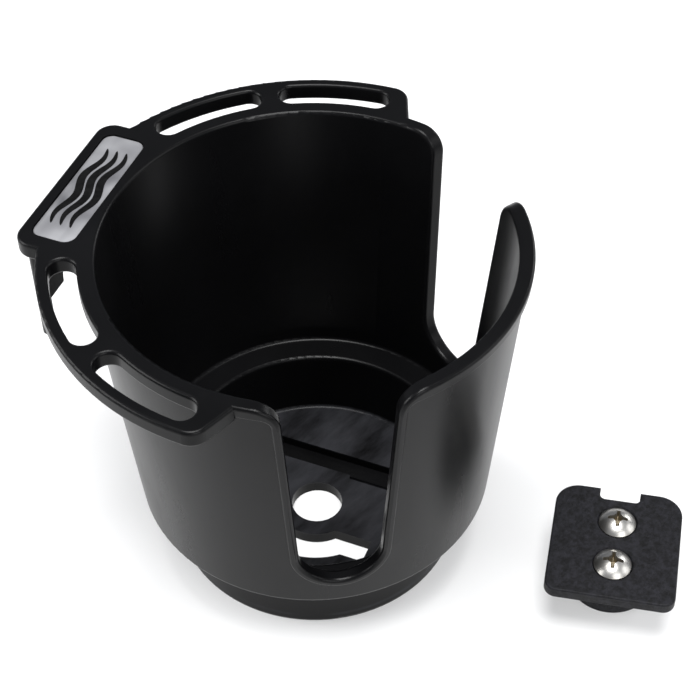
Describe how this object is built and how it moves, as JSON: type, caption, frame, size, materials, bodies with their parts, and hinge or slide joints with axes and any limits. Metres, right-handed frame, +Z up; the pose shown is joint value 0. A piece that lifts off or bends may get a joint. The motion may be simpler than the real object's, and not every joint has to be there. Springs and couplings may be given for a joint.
{
  "type": "drink holder",
  "caption": "Tapered open-sided drink holder with a slotted rim flange and a receiver on its back, and the separate screw-on mount button that it drops on to.",
  "frame": {"origin": "on the cup's axis, at the underside of its floor", "axes": "+Z up the cup's axis; +Y towards the badge pad and the receiver on the back; -Y towards the front, where the mount button lies; +X to the right seen from the back"},
  "size_m": [0.121, 0.1581, 0.0941],
  "materials": {
    "holder_black": "satin to gloss moulded black",
    "badge_silver": "brushed",
    "badge_pad": "foam adhesive pad",
    "mount_charcoal": "fine moulded grain",
    "screw_steel": "polished stainless"
  },
  "bodies": {
    "holder": {"holder_body": "holder_black", "badge_plate": "badge_silver", "badge_adhesive": "badge_pad"},
    "mount_button": {"mount_plate": "mount_charcoal"},
    "screw_upper": {"mount_screw_upper": "screw_steel"},
    "screw_lower": {"mount_screw_lower": "screw_steel"}
  },
  "joints": [
    {"name": "mount_lift", "type": "slide", "parent": "holder", "child": "mount_button", "axis": [0, 0, 1], "range_m": [0, 0.06]},
    {"name": "screw_upper_draw", "type": "slide", "parent": "mount_button", "child": "screw_upper", "axis": [0, 0, 1], "range_m": [0, 0.0165]},
    {"name": "screw_lower_draw", "type": "slide", "parent": "mount_button", "child": "screw_lower", "axis": [0, 0, 1], "range_m": [0, 0.0165]}
  ]
}
